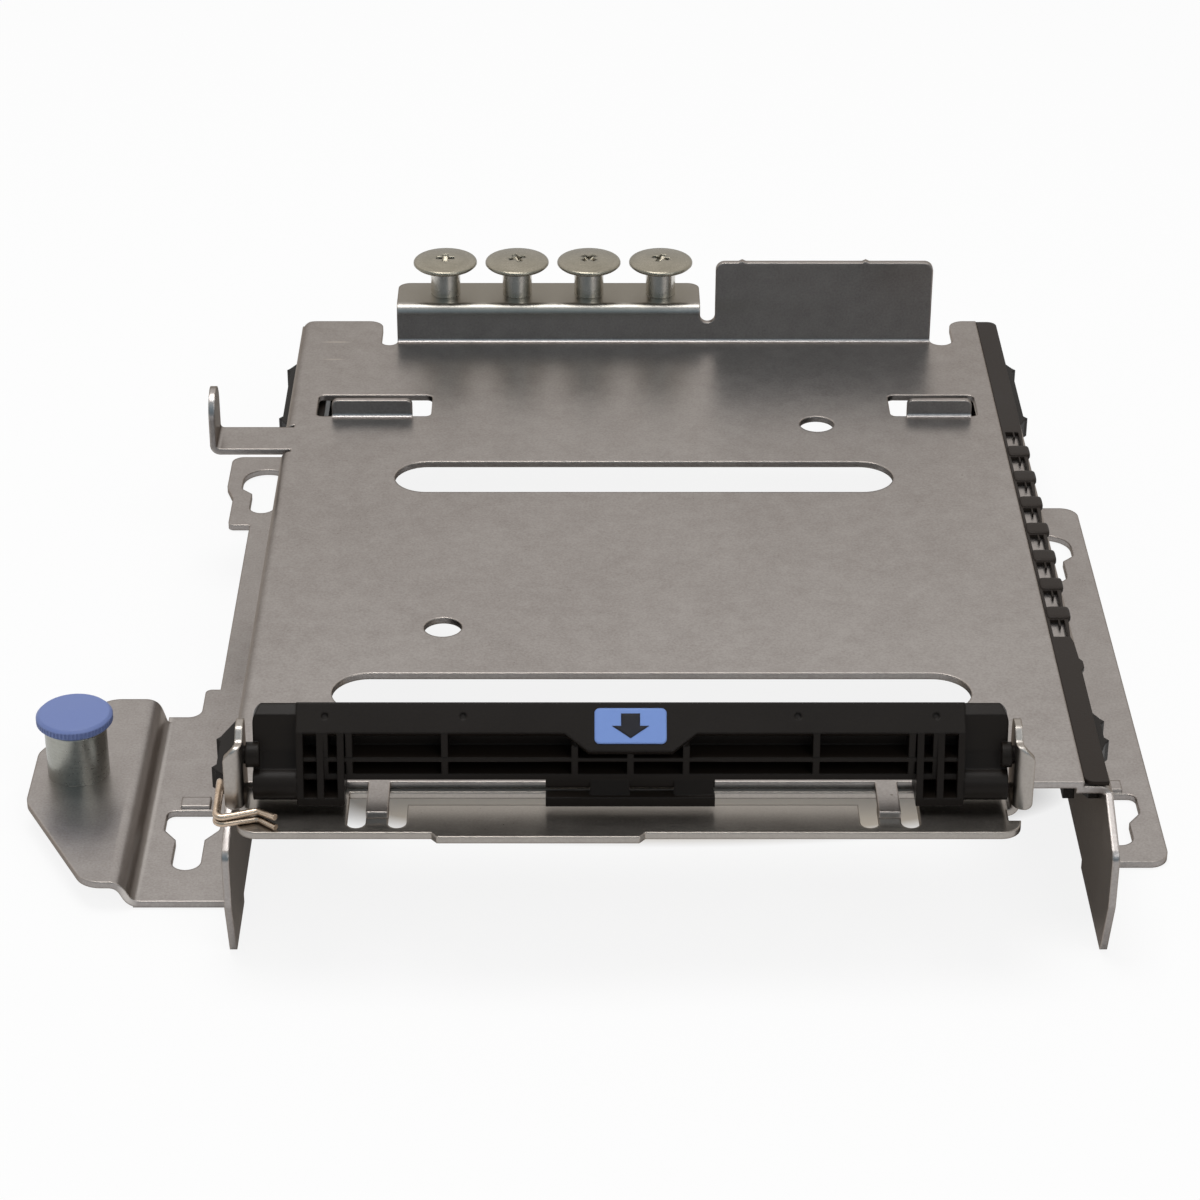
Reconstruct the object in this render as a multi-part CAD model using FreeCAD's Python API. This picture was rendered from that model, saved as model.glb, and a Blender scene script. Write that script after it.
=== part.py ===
import FreeCAD, Part
import math
import os

# A drive caddy of folded sheet steel: a deck with side walls, keyholed flanges, a rear riser that stores
# four shoulder screws, moulded guide rails, a sprung latch bar at the front and a spring plunger.
# Millimetres. x runs right from the deck's left edge, y rearward from its front edge, z up from its top.

# Sheet steel and fits
sheet = 1.0                  # thickness of the folded sheet
bend = 0.6                   # inside radius of a fold
touch = 0.05                 # gap between moulded pieces and the steel they seat on
running = 0.05               # radial clearance of sliding and turning fits
overrun = 5.0                # how far a cut runs past the faces that it opens
edge_break = 0.3             # small broken edges on turned and moulded pieces
full_round = 0.499           # share of a width whose radius makes a round end
same_point = 1e-6            # ends closer than this are one point
straight = 89.9              # half angle in degrees past which a corner counts as straight

# Deck and side walls
tray_width = 119.0           # over the outer faces of the walls
deck_length = 145.0
wall_height = 23.0           # deck top to the underside of the flanges
nose_reach = 9.7             # walls run forward of the deck
nose_top = 5.6               # depth of the nose's upper corner
nose_flat = 8.0              # upright length of the nose
nose_tip = 6.3               # reach of the wall's bottom corner
nose_round = 1.8
wall_corner = 3.0            # rounded lower rear corner of a wall
guard_width = 3.9            # recess along the right edge, wall included
guard_depth = 0.8

# Rear edge and riser
corner_left = 14.0           # width of the rear left corner piece
corner_right = 8.6           # width of the rear right corner piece, recess included
corner_round = 2.5
left_notch = 2.7             # notches between the corner pieces and the riser
right_notch = 3.9
notch_depth = 9.5
riser_setback = 8.0          # riser face in front of the deck's rear edge
riser_gap = 2.5              # notch between the low and the tall riser
riser_gap_floor = 3.4
shelf_height = 6.5           # screw shelf above the deck
shelf_round = 2.0
tall_height = 14.4
tall_round = 1.5
burr_width = 1.2             # two burrs left where the tall riser's top edge was sheared off
burr_height = 0.3
burr_inset = 4.4
burr_spacing = 20.6

# Deck openings
slot_shift = -2.0            # slots' middle from the tray's middle
rear_slot_length = 77.9
front_slot_length = 89.5
slot_width = 10.2
rear_slot_back = 57.1        # from the deck's rear edge
front_slot_y = 23.2
deck_hole = 5.5
right_hole_inset = 33.4      # from the right wall
right_hole_back = 38.9
left_hole_x = 27.7
left_hole_y = 41.2
window_back = 36.1           # windows' front edges, where their tabs stand
window_depth = 7.7
window_round = 1.0
left_window_x = 4.8
left_window_width = 18.6
right_window_inset = 7.15    # from the right wall
right_window_width = 14.1
tab_inset = 2.6              # window's left end to its tab
left_tab_width = 13.0
right_tab_width = 10.4
tab_height = 2.8

# Hook arm on the left edge
hook_back = 47.7             # from the deck's rear edge
hook_width = 7.7
hook_reach = 11.2
hook_height = 8.8
hook_relief = 0.8
hook_slot_depth = 19.0       # the wall is open below the arm

# Flanges
flange_front = 3.7           # left flange's front edge
strip_width = 7.3
ear_reach = 12.2
ear_front_reach = 10.9
ear_back = 32.5              # ear's front edge from the deck's rear edge
ear_length = 24.5
ear_step = 9.5
foot_reach = 14.3            # left front flange up to the joggle
foot_step_reach = 9.5
foot_rear = 52.0
foot_step_rear = 60.0
foot_round = 2.0
right_reach = 11.5
right_front = 13.4
right_back = 26.6            # right flange's rear edge from the deck's rear edge
right_round = 2.8

# Keyholes
key_wide = 7.9
key_narrow = 4.1
front_key_wide_length = 4.9
rear_key_wide_length = 6.9
front_key_shoulder = 2.6     # length of the slant between wide and narrow
rear_key_shoulder = 1.9
key_corner = 1.2
left_front_key_x = 7.85      # from the wall's outer face
left_rear_key_x = 5.75
right_key_x = 5.05
left_front_key_y = 11.4      # narrow ends
right_front_key_y = 17.6
left_rear_key_inset = 4.2    # behind the ear's front edge
right_rear_key_back = 51.7   # from the deck's rear edge
left_front_key_length = 15.0
right_front_key_length = 13.2
rear_key_length = 15.6
lance_width = 4.2            # half-sheared stops behind the front keyholes
lance_length = 2.4
lance_rise = 0.6
lance_gap = 0.4

# Plunger plate
plate_rise = 3.2             # above the flange
plate_run = 1.6              # run of the joggle
joggle_bend = 1.6            # inside radius of its two bends
plate_reach = 31.6
plate_side_front = 24.0
plate_side_rear = 37.0
plate_front_corner = 21.0
plate_rear_corner = 23.5
plate_round = 4.0
plunger_x = 25.1             # from the left wall's outer face
plunger_y = 32.3

# Spring plunger
barrel_od = 8.9
barrel_wall = 0.9
barrel_height = 8.0
bush_od = 6.0
bush_rivet_od = 7.6
bush_rivet = 0.6
bush_seat = 1.0              # bush flange inside the barrel
pin_d = 4.0
pin_chamfer = 0.6
stem_d = 3.0
collar_d = 6.4
collar = 1.0
pin_clear = 0.1              # tip above the resting plane
cap_d = 11.0
cap_thick = 1.6
cap_crown = 0.3
cap_gap = 0.3
cap_bevel = 0.45
cap_grips = 60
cap_grip_r = 0.16
spring_wire = 0.5
spring_turns = 3.25
spring_mean_d = 5.0

# Shoulder screws
screws = 4
screw_pitch = 12.1
screw_first = 8.1            # from the shelf's left end
screw_last = 6.6             # to the shelf's right end
screw_back = 5.4             # axis behind the riser's face
screw_edge = 4.0             # axis to the shelf's rear edge
screw_turn = 23.0            # each recess is turned on from the one before
head_d = 10.7
head_edge = 0.8
head_round = 0.4             # rounded rim of the head's top
head_dome = 0.45
shoulder_d = 4.95
shoulder_length = 5.25
thread_d = 3.3
thread_length = 3.4
thread_taper = 0.5
recess_span = 3.0
recess_width = 0.95
recess_depth = 0.9            # at the middle
recess_end_depth = 0.35      # at the ends of its arms
recess_floor = 0.8           # length of the flat at the middle

# Latch bracket
lip_reach = 10.7             # bracket's lip in front of the deck
lip_bulge = 1.0
bulge_left = 27.9
bulge_right = 56.1
bulge_slant = 0.8
shelf_back = 4.0             # bracket shelf's rear edge
sill_front = 1.0             # front edge of the bracket's sill under the deck
sill_back = 8.0
left_ear_x = 2.1             # outer face of the left ear
right_ear_inset = 13.25      # outer face of the right ear from the right wall
ear_front_y = -6.8
ear_rear_y = -0.4
ear_wing = 1.5               # the ears' front edges are folded outward
wing_top = 9.4
wing_slant = 1.6
ear_top = 10.8
ear_finger = 2.6             # width of an ear's narrow top
ear_round = 1.0
tongue_width = 2.9           # two tongues of the deck lap on the bracket
tongue_reach = 7.3
left_tongue_x = 19.2
right_tongue_inset = 29.1
relief_width = 2.5           # U notches beside a tongue
relief_reach = 9.6
bracket_round = 2.8

# Latch bar
left_latch_gap = 1.2         # bar's end to the ear
right_latch_gap = 0.75
pivot_y = -3.5
pivot_z = 6.6
pivot_d = 2.4
pivot_stub = 0.5             # pin beyond the ear
pivot_boss_d = 3.4
boss_play = 0.3
rib = 0.9
skin = 1.2                   # latch walls
latch_back = -0.4            # rear face
face_top_y = -0.9            # sloping face, upper edge
face_top_z = 13.1
face_slope = 41.0
face_side = 4.3              # length of the face beside the centre
face_centre = 6.8
face_round = 2.4             # rounded top corners of the bar
face_bevel = 0.4
centre_half = 5.5            # half width of the dipped centre
centre_slant = 3.2
bar_floor = 3.4              # underside of the bar between its ends
mid_rib_z = 6.2
mid_rib = 0.6
rib_front = -4.7
end_width = 5.8
end_floor = 0.3
end_front = -6.3
end_pocket = 6.3             # open pocket beside an end block
end_hollow = 2.5             # radius of the hollow above a roll
roll_d = 4.4                 # rounded roll on the end blocks
block_half = 11.2            # half width of the deeper centre block
block_floor = 2.2
catch_floor = 0.1
catch_top = 1.5
catch_front = -6.1
catch_back = -4.2
catch_leg_offsets = (-5.3, 5.8)
catch_leg_width = 5.2
rib_offsets = (9.1, 12.3, 24.9)   # ribs from the bar's ends
centre_rib_offset = 7.8
label_width = 9.5
label_height = 4.9
label_thick = 0.12
label_round = 0.7
label_drop = 0.85            # below the face's upper edge
arrow_height = 3.4
arrow_head = 4.9
arrow_neck = 2.5
arrow_head_length = 1.7
arrow_thick = 0.06
dimple_d = 0.9
dimple_depth = 0.25
dimple_drop = 1.9
dimple_offsets = (9.6, 27.8)

# Latch spring
wire_d = 0.9
wire_bend = 0.9
wire_gap = 0.65              # beside the ear's folded edge
wire_corner_y = -9.6         # both strands turn here
wire_wave_x = 5.0            # their wave in front of the latch's end
wire_wave_y = -8.1
prong_reach = 7.5
prong_y = -10.2
strand_rise = 0.95           # upper strand over the lower one at the turn
wave_rise = 1.2
prong_rise = 1.6
loop_y = -1.4                # closed end of the hairpin
loop_straight = 0.2

# Guide rails
rail_front = 5.0
rail_setback = 6.0           # rear end from the deck's rear edge
rail_nose = 4.0              # height of the rail's front end
rail_slant = 20.0            # slanted lead-in below it
rail_wall = 1.4              # above and below the channel
rail_back = 1.3
rail_lip = 1.5
rail_round = 0.9
rail_stop = 3.0
head_room = 0.35             # clearance round a screw's head and shoulder
clip_drop = 1.6              # clips below the rail's top
clip_height = 3.2
left_clip_proud = 2.3        # front clips, outside the walls
right_clip_proud = 1.2
left_clip_y = 6.1
right_clip_y = 12.0
left_clip_length = 16.6
right_clip_length = 12.0
left_ramp_front = 2.2        # slanted ends of the clips, up to their barbs
right_ramp_front = 3.2
left_ramp_rear = 5.6
right_ramp_rear = 2.2
rear_clip_proud = 1.2
rear_ramp = 2.2
barb_proud = 0.6
barb = 1.6
rear_clip_back = 33.0        # from the deck's rear edge
rear_clip_length = 24.0
clip_play = 0.3

# Edge guard
guard_windows = 8
guard_pitch = 8.55
guard_first = 41.2           # middle of the first window
guard_window = 4.9
guard_sink = 0.15
guard_front = 0.3            # front end from the deck's front edge
guard_inset = 0.5            # strip's outer edge inside the wall's outer face
guard_edge = 0.5             # strip left inside a window
guard_bar = 0.75             # strip left outside it
guard_waist = 0.15           # outer edge set in along the windows
guard_dip = 0.45             # and more at each window's front end
guard_shoulder = 1.6         # rounded shoulder of the bar in front of it
guard_tick = 0.25            # stub that stands into a window
guard_tick_x = 1.2
guard_tick_length = 1.8
guard_round = 1.5
snap_y = 31.0
snap_length = 3.4
snap_proud = 0.45

# Derived levels and lines
floor_z = -wall_height
flange_z = floor_z + sheet
mid_x = tray_width / 2
guard_x = tray_width - guard_width
riser_y = deck_length - riser_setback
riser_left = corner_left + left_notch
riser_right = tray_width - corner_right - right_notch
low_riser_width = screw_first + (screws - 1) * screw_pitch + screw_last
low_right = riser_left + low_riser_width
tall_left = low_right + riser_gap
shelf_depth = screw_back + screw_edge
hook_y = deck_length - hook_back
window_y = deck_length - window_back
ear_front = deck_length - ear_back
ear_rear = ear_front + ear_length
right_rear = deck_length - right_back
plate_z = flange_z + plate_rise
plunger_centre_x = -plunger_x
bracket_z = -sheet
right_ear_x = tray_width - right_ear_inset
right_tongue_x = tray_width - right_tongue_inset - tongue_width
tongues = (left_tongue_x, right_tongue_x)
barrel_top = plate_z + barrel_height
chamber_top = barrel_top - barrel_wall
collar_bottom = plate_z + bush_seat + touch
collar_top = collar_bottom + collar
latch_left = left_ear_x + sheet + left_latch_gap
latch_right = right_ear_x - sheet - right_latch_gap
latch_centre = (latch_left + latch_right) / 2
slope_y = -math.cos(math.radians(face_slope))
slope_z = -math.sin(math.radians(face_slope))
head_thick = head_edge + head_dome
rail_top = -(guard_depth + sheet + touch)
channel_z = rail_top - rail_wall - head_room - head_d / 2
rail_bottom = channel_z - head_d / 2 - head_room - rail_wall
clip_z = rail_top - clip_drop - clip_height / 2
rear_clip_y = deck_length - rear_clip_back
rear_clip = (rear_clip_y, rear_clip_length, rear_clip_proud, rear_ramp, rear_ramp)
left_clip = (left_clip_y, left_clip_length, left_clip_proud, left_ramp_front, left_ramp_rear)
right_clip = (right_clip_y, right_clip_length, right_clip_proud, right_ramp_front, right_ramp_rear)
front_keys = ((-left_front_key_x, left_front_key_y, left_front_key_length),
              (tray_width + right_key_x, right_front_key_y, right_front_key_length))
rear_keys = ((-left_rear_key_x, ear_front + left_rear_key_inset, rear_key_length),
             (tray_width + right_key_x, deck_length - right_rear_key_back, rear_key_length))
windows = ((left_window_x, left_window_width, left_tab_width),
           (tray_width - right_window_inset - right_window_width, right_window_width, right_tab_width))
deck_holes = ((tray_width - right_hole_inset, deck_length - right_hole_back), (left_hole_x, left_hole_y))

# Frame: the middle of the part's outline, on the plane that it stands on
front_end = -(lip_reach + lip_bulge)
rear_end = riser_y + screw_back + max(head_d / 2, screw_edge)
origin = FreeCAD.Vector((tray_width + right_reach - plate_reach) / 2, (front_end + rear_end) / 2, floor_z)


def vec(x, y, z):
    return FreeCAD.Vector(x, y, z)


def box(x0, x1, y0, y1, z0, z1):
    return Part.makeBox(x1 - x0, y1 - y0, z1 - z0, vec(x0, y0, z0))


def rod(radius, length, start, direction):
    return Part.makeCylinder(radius, length, start, direction)


def rounded_wire(corners, place):
    """Closed wire through (u, v, radius) corners, with a tangent arc at each rounded one."""
    stops = []
    count = len(corners)
    for index, corner in enumerate(corners):
        u, v = corner[0], corner[1]
        radius = corner[2] if len(corner) > 2 else 0.0
        back = corners[index - 1]
        ahead = corners[(index + 1) % count]
        back_length = math.hypot(back[0] - u, back[1] - v)
        ahead_length = math.hypot(ahead[0] - u, ahead[1] - v)
        a = ((back[0] - u) / back_length, (back[1] - v) / back_length)
        b = ((ahead[0] - u) / ahead_length, (ahead[1] - v) / ahead_length)
        half = math.acos(max(-1.0, min(1.0, a[0] * b[0] + a[1] * b[1]))) / 2
        if radius <= 0 or half > math.radians(straight):
            stops.append(((u, v), None, (u, v)))
            continue
        run = radius / math.tan(half)
        bisector = (a[0] + b[0], a[1] + b[1])
        reach = (radius / math.sin(half) - radius) / math.hypot(*bisector)
        middle = (u + bisector[0] * reach, v + bisector[1] * reach)
        stops.append(((u + a[0] * run, v + a[1] * run), middle, (u + b[0] * run, v + b[1] * run)))
    edges = []
    for index, (start, middle, end) in enumerate(stops):
        if middle is not None:
            edges.append(Part.Arc(place(*start), place(*middle), place(*end)).toShape())
        next_start = stops[(index + 1) % count][0]
        if math.dist(end, next_start) > same_point:
            edges.append(Part.LineSegment(place(*end), place(*next_start)).toShape())
    return Part.Wire(edges)


def plan(corners, z0, z1):
    """Outline seen from above, (x, y), raised from z0 to z1."""
    face = Part.Face(rounded_wire(corners, lambda u, v: vec(u, v, z0)))
    return face.extrude(vec(0, 0, z1 - z0))


def side(corners, x0, x1):
    """Outline seen from the side, (y, z), drawn out from x0 to x1."""
    face = Part.Face(rounded_wire(corners, lambda u, v: vec(x0, u, v)))
    return face.extrude(vec(x1 - x0, 0, 0))


def front(corners, y0, y1):
    """Outline seen from the front, (x, z), drawn out from y0 to y1."""
    face = Part.Face(rounded_wire(corners, lambda u, v: vec(u, y0, v)))
    return face.extrude(vec(0, y1 - y0, 0))


def folded(path, inside=bend):
    """Corners of a folded sheet whose metal lies on the right-hand side of the path."""
    headings = []
    for start, end in zip(path, path[1:]):
        length = math.dist(start, end)
        headings.append(((end[0] - start[0]) / length, (end[1] - start[1]) / length))
    near = []
    far = []
    for index, (u, v) in enumerate(path):
        before = headings[max(index - 1, 0)]
        after = headings[min(index, len(headings) - 1)]
        n1 = (before[1], -before[0])
        n2 = (after[1], -after[0])
        scale = sheet / (1 + n1[0] * n2[0] + n1[1] * n2[1])
        turn = before[0] * after[1] - before[1] * after[0]
        inner = inside if abs(turn) > same_point else 0.0
        outer = inside + sheet if abs(turn) > same_point else 0.0
        near.append((u, v, inner if turn > 0 else outer))
        far.append((u + (n1[0] + n2[0]) * scale, v + (n1[1] + n2[1]) * scale, outer if turn > 0 else inner))
    return near + far[::-1]


def fused(shapes):
    """One clean solid from overlapping or touching shapes."""
    whole = shapes[0].fuse(shapes[1:]) if len(shapes) > 1 else shapes[0]
    return whole.removeSplitter()


def stadium(x, y, length, width, z0, z1):
    """A slot with round ends, lying along x."""
    half = width / 2
    end = width * full_round
    corners = [(x - length / 2, y - half, end), (x + length / 2, y - half, end),
               (x + length / 2, y + half, end), (x - length / 2, y + half, end)]
    return plan(corners, z0, z1)


def keyhole(x, y_front, length, wide_length, slant, rear_corner):
    """A keyhole through a flange: a narrow round front end and a wide rear end."""
    half = key_narrow / 2
    wide = key_wide / 2
    y_rear = y_front + length
    shoulder = y_rear - wide_length
    neck = shoulder - slant
    end = key_narrow * full_round
    corners = [(x - half, y_front, end), (x + half, y_front, end), (x + half, neck),
               (x + wide, shoulder, key_corner), (x + wide, y_rear, rear_corner),
               (x - wide, y_rear, rear_corner), (x - wide, shoulder, key_corner), (x - half, neck)]
    return plan(corners, floor_z - overrun, flange_z + overrun)


def nose(x0, x1):
    """The part of a wall that runs forward of the deck."""
    root = -(sheet + bend)
    corners = [(overrun, root), (0.0, root), (-nose_reach, -nose_top, nose_round),
               (-nose_reach, -nose_top - nose_flat, nose_round), (-nose_tip, floor_z, edge_break),
               (overrun, floor_z)]
    return side(corners, x0, x1)


def upright(x0, x1, y_face, height, corner):
    """A strip of the deck folded up at y_face, with rounded top corners."""
    path = [(y_face - overrun, 0.0), (y_face, 0.0), (y_face, height)]
    strip = side(folded(path), x0, x1)
    trim = front([(x0, -sheet), (x1, -sheet), (x1, height, corner), (x0, height, corner)],
                 y_face - 2 * overrun, y_face + overrun)
    return strip.common(trim)


def wall_windows():
    """Openings in both walls for the rails' clips."""
    low = clip_z - clip_height / 2 - clip_play
    high = clip_z + clip_height / 2 + clip_play
    cuts = []
    for x, clips in ((0.0, (left_clip, rear_clip)), (tray_width, (right_clip, rear_clip))):
        for y, length, *_ in clips:
            cuts.append(box(x - overrun, x + overrun, y - clip_play, y + length + clip_play, low, high))
    return cuts


def lance(x, y):
    """A half-sheared stop pressed up behind a keyhole: the raised pad and the recess below it."""
    half = lance_width / 2
    pad = box(x - half, x + half, y, y + lance_length, flange_z, flange_z + lance_rise)
    recess = box(x - half, x + half, y, y + lance_length, floor_z, floor_z + lance_rise)
    return pad, recess


def side_strips():
    """Deck, walls and flange roots as folded strips, each over its own stretch of y."""
    left_wall = [(0.0, floor_z), (0.0, 0.0), (mid_x, 0.0)]
    left_flange = [(-strip_width, flange_z), (0.0, flange_z), (0.0, 0.0), (mid_x, 0.0)]
    ledge = [(guard_x, -guard_depth), (tray_width, -guard_depth)]
    right_wall = ledge + [(tray_width, floor_z)]
    right_flange = ledge + [(tray_width, flange_z), (tray_width + right_reach, flange_z)]
    stretches = [(left_wall, 0.0, flange_front), (left_flange, flange_front, ear_rear),
                 (left_wall, ear_rear, deck_length), (right_wall, 0.0, right_front),
                 (right_flange, right_front, right_rear), (right_wall, right_rear, deck_length)]
    strips = [front(folded(path), y0, y1) for path, y0, y1 in stretches]
    strips.append(box(mid_x, guard_x, 0.0, deck_length, -sheet, 0.0))
    strips.append(box(guard_x - sheet, guard_x, 0.0, deck_length, -guard_depth - sheet, 0.0))
    strips += [nose(0.0, sheet), nose(tray_width - sheet, tray_width)]
    return strips


def left_flange_plates():
    """Rear ear, front foot and the raised plunger plate beside it."""
    root = -(bend + sheet)
    step_end = ear_front + ear_step + 2 * foot_round
    small = foot_round / 2
    ear = plan([(root, ear_front), (-ear_front_reach, ear_front, small),
                (-ear_front_reach, ear_front + ear_step, small), (-ear_reach, step_end, small),
                (-ear_reach, ear_rear, foot_round), (root, ear_rear)], floor_z, flange_z)
    foot = plan([(root, flange_front), (-foot_reach, flange_front), (-foot_reach, foot_rear),
                 (-foot_step_reach, foot_rear, foot_round), (-foot_step_reach, foot_step_rear, small),
                 (-strip_width, foot_step_rear), (root, foot_step_rear)], floor_z, flange_z)
    joggle = [(-plate_reach, plate_z), (-foot_reach - plate_run, plate_z), (-foot_reach, flange_z),
              (-foot_step_reach, flange_z)]
    strip = front(folded(joggle, joggle_bend), flange_front, foot_rear)
    inner = -foot_reach - plate_run / 2
    outline = plan([(-foot_step_reach, flange_front), (-plate_front_corner, flange_front, plate_round),
                    (-plate_reach, plate_side_front, plate_round),
                    (-plate_reach, plate_side_rear, plate_round),
                    (-plate_rear_corner, foot_rear, plate_round), (inner, foot_rear, plate_run),
                    (-foot_reach, foot_rear - plate_run), (-foot_step_reach, foot_rear - plate_run)],
                   floor_z, plate_z + overrun)
    return [ear, foot, strip.common(outline)]


def hook_arm():
    """Flat arm at deck level with its end folded up and rounded."""
    rear = hook_y + hook_width
    path = [(overrun, -sheet), (-hook_reach, -sheet), (-hook_reach, hook_height)]
    strip = front(folded(path), hook_y, rear)
    crown = hook_width * full_round
    trim = side([(hook_y, -sheet), (rear, -sheet), (rear, hook_height, crown), (hook_y, hook_height, crown)],
                -hook_reach - overrun, 2 * overrun)
    return strip.common(trim)


def riser():
    """Low riser with the screw shelf, tall riser, and the notched web between them."""
    start = riser_y - overrun
    shelf_rear = riser_y + shelf_depth
    shelf_path = [(start, 0.0), (riser_y, 0.0), (riser_y, shelf_height), (shelf_rear, shelf_height)]
    trim = plan([(riser_left, start), (low_right, start), (low_right, shelf_rear, shelf_round),
                 (riser_left, shelf_rear, shelf_round)], -sheet, shelf_height)
    low = side(folded(shelf_path), riser_left, low_right).common(trim)
    gap_round = riser_gap / 2
    gap_centre = vec(low_right + gap_round, start, riser_gap_floor + gap_round)
    web_path = [(start, 0.0), (riser_y, 0.0), (riser_y, gap_centre.z)]
    web = side(folded(web_path), low_right, tall_left)
    web = web.cut(rod(gap_round, 4 * overrun, gap_centre, vec(0, 1, 0)))
    tall = upright(tall_left, riser_right, riser_y, tall_height, tall_round)
    burrs = []
    root = tall_height - burr_height
    for inset in (burr_inset, burr_inset + burr_spacing):
        x = tall_left + inset
        burrs.append(front([(x - burr_width, root), (x + burr_width, root), (x, tall_height + burr_height)],
                           riser_y, riser_y + sheet))
    return [low, web, tall] + burrs


def deck_cuts():
    """Everything cut through the deck from above."""
    z0 = -sheet - overrun / 2
    z1 = overrun
    past = deck_length + overrun
    slot_x = mid_x + slot_shift
    cuts = [stadium(slot_x, deck_length - rear_slot_back, rear_slot_length, slot_width, z0, z1),
            stadium(slot_x, front_slot_y, front_slot_length, slot_width, z0, z1)]
    for x, y in deck_holes:
        cuts.append(rod(deck_hole / 2, z1 - z0, vec(x, y, z0), vec(0, 0, 1)))
    for x, width, _ in windows:
        rear = window_y + window_depth
        cuts.append(plan([(x, window_y, window_round), (x + width, window_y, window_round),
                          (x + width, rear, window_round), (x, rear, window_round)], z0, z1))
    for x, width in ((corner_left, left_notch), (riser_right, right_notch)):
        y = deck_length - notch_depth
        end = width * full_round
        cuts.append(plan([(x, y, end), (x + width, y, end), (x + width, past), (x, past)], z0, z1))
    cuts.append(box(riser_left, riser_right, riser_y - bend, past, z0, z1))
    return cuts


def corner_sliver(centre, inward, radius, depth, axis):
    """What rounds off a square corner: the square less a disc, depth deep along an axis."""
    u, v = inward
    if axis == "z":
        corner = centre + vec(-u * radius, -v * radius, 0)
        far = centre + vec(0, 0, depth)
        direction = vec(0, 0, 1)
    else:
        corner = centre + vec(0, -u * radius, -v * radius)
        far = centre + vec(depth, 0, 0)
        direction = vec(1, 0, 0)
    square = box(min(corner.x, far.x), max(corner.x, far.x), min(corner.y, far.y), max(corner.y, far.y),
                 min(corner.z, far.z), max(corner.z, far.z))
    return square.cut(rod(radius, depth, centre, direction))


def corner_trims():
    """Slivers that round the deck's rear corners, the walls' lower rear corners and the right flange."""
    r = corner_round
    y = deck_length - r
    trims = [corner_sliver(vec(r, y, -sheet), (1, -1), r, sheet, "z"),
             corner_sliver(vec(corner_left - r, y, -sheet), (-1, -1), r, sheet, "z"),
             corner_sliver(vec(riser_right + right_notch + r, y, -sheet), (1, -1), r, sheet, "z")]
    for x in (0.0, tray_width - sheet):
        centre = vec(x, deck_length - wall_corner, floor_z + wall_corner)
        trims.append(corner_sliver(centre, (-1, 1), wall_corner, sheet, "x"))
    x = tray_width + right_reach - right_round
    trims.append(corner_sliver(vec(x, right_front + right_round, floor_z), (-1, 1), right_round, sheet, "z"))
    trims.append(corner_sliver(vec(x, right_rear - right_round, floor_z), (-1, -1), right_round, sheet, "z"))
    return trims


def tray_sheet():
    hook_gap = box(-sheet, sheet + bend, hook_y - hook_relief, hook_y + hook_width + hook_relief,
                   -hook_slot_depth, overrun)
    body = fused(side_strips()).cut(deck_cuts() + wall_windows() + corner_trims() + [hook_gap])
    added = left_flange_plates() + [hook_arm()] + riser()
    for x, width, tab_width in windows:
        added.append(upright(x + tab_inset, x + tab_inset + tab_width, window_y, tab_height, window_round))
    for x in tongues:
        added.append(box(x, x + tongue_width, -tongue_reach, sheet, -sheet, 0.0))
    cuts = [rod(bush_od / 2, 2 * overrun, vec(plunger_centre_x, plunger_y, plate_z - overrun), vec(0, 0, 1))]
    for x, y, length in front_keys:
        pad, recess = lance(x, y + length + lance_gap)
        added.append(pad)
        cuts += [recess, keyhole(x, y, length, front_key_wide_length, front_key_shoulder, key_corner)]
    for x, y, length in rear_keys:
        cuts.append(keyhole(x, y, length, rear_key_wide_length, rear_key_shoulder, key_wide * full_round))
    for index in range(screws):
        x, y = screw_place(index)
        cuts.append(rod(thread_d / 2 + touch, 2 * overrun, vec(x, y, shelf_height - overrun), vec(0, 0, 1)))
    return fused([body] + added).cut(cuts).removeSplitter()


def screw_place(index):
    return riser_left + screw_first + index * screw_pitch, riser_y + screw_back


def shoulder_screw(index):
    """Thin domed cross-recessed head on a smooth shoulder, standing in its hole in the shelf."""
    under_head = shelf_height + shoulder_length
    head_top = under_head + head_thick
    thread = thread_d / 2
    head = head_d / 2
    tip = shelf_height - thread_length
    outline = [(0.0, tip), (thread - thread_taper, tip), (thread, tip + thread_taper), (thread, shelf_height),
               (shoulder_d / 2, shelf_height), (shoulder_d / 2, under_head), (head - edge_break, under_head),
               (head, under_head + edge_break), (head, under_head + head_edge - head_round)]
    points = [vec(u, 0, v) for u, v in outline]
    edges = [Part.LineSegment(a, b).toShape() for a, b in zip(points, points[1:])]
    rim = head - head_round
    bulge = head_round * math.sqrt(0.5)
    rim_middle = vec(rim + bulge, 0, under_head + head_edge - head_round + bulge)
    rim_end = vec(rim, 0, under_head + head_edge)
    edges.append(Part.Arc(points[-1], rim_middle, rim_end).toShape())
    crown_r = (rim ** 2 + head_dome ** 2) / (2 * head_dome)
    crown_middle = head_top - crown_r + math.sqrt(crown_r ** 2 - (rim / 2) ** 2)
    edges.append(Part.Arc(rim_end, vec(rim / 2, 0, crown_middle), vec(0, 0, head_top)).toShape())
    edges.append(Part.LineSegment(vec(0, 0, head_top), points[0]).toShape())
    solid = Part.Face(Part.Wire(edges)).revolve(vec(0, 0, 0), vec(0, 0, 1), 360)
    span = recess_span / 2
    flat = recess_floor / 2
    for turn in (0, 90):
        arm = front([(-span, head_top - recess_end_depth), (-flat, head_top - recess_depth),
                     (flat, head_top - recess_depth), (span, head_top - recess_end_depth),
                     (span, head_top + overrun), (-span, head_top + overrun)],
                    -recess_width / 2, recess_width / 2)
        arm.rotate(vec(0, 0, 0), vec(0, 0, 1), turn + index * screw_turn)
        solid = solid.cut(arm)
    solid.translate(vec(*screw_place(index), 0))
    return solid


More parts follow.
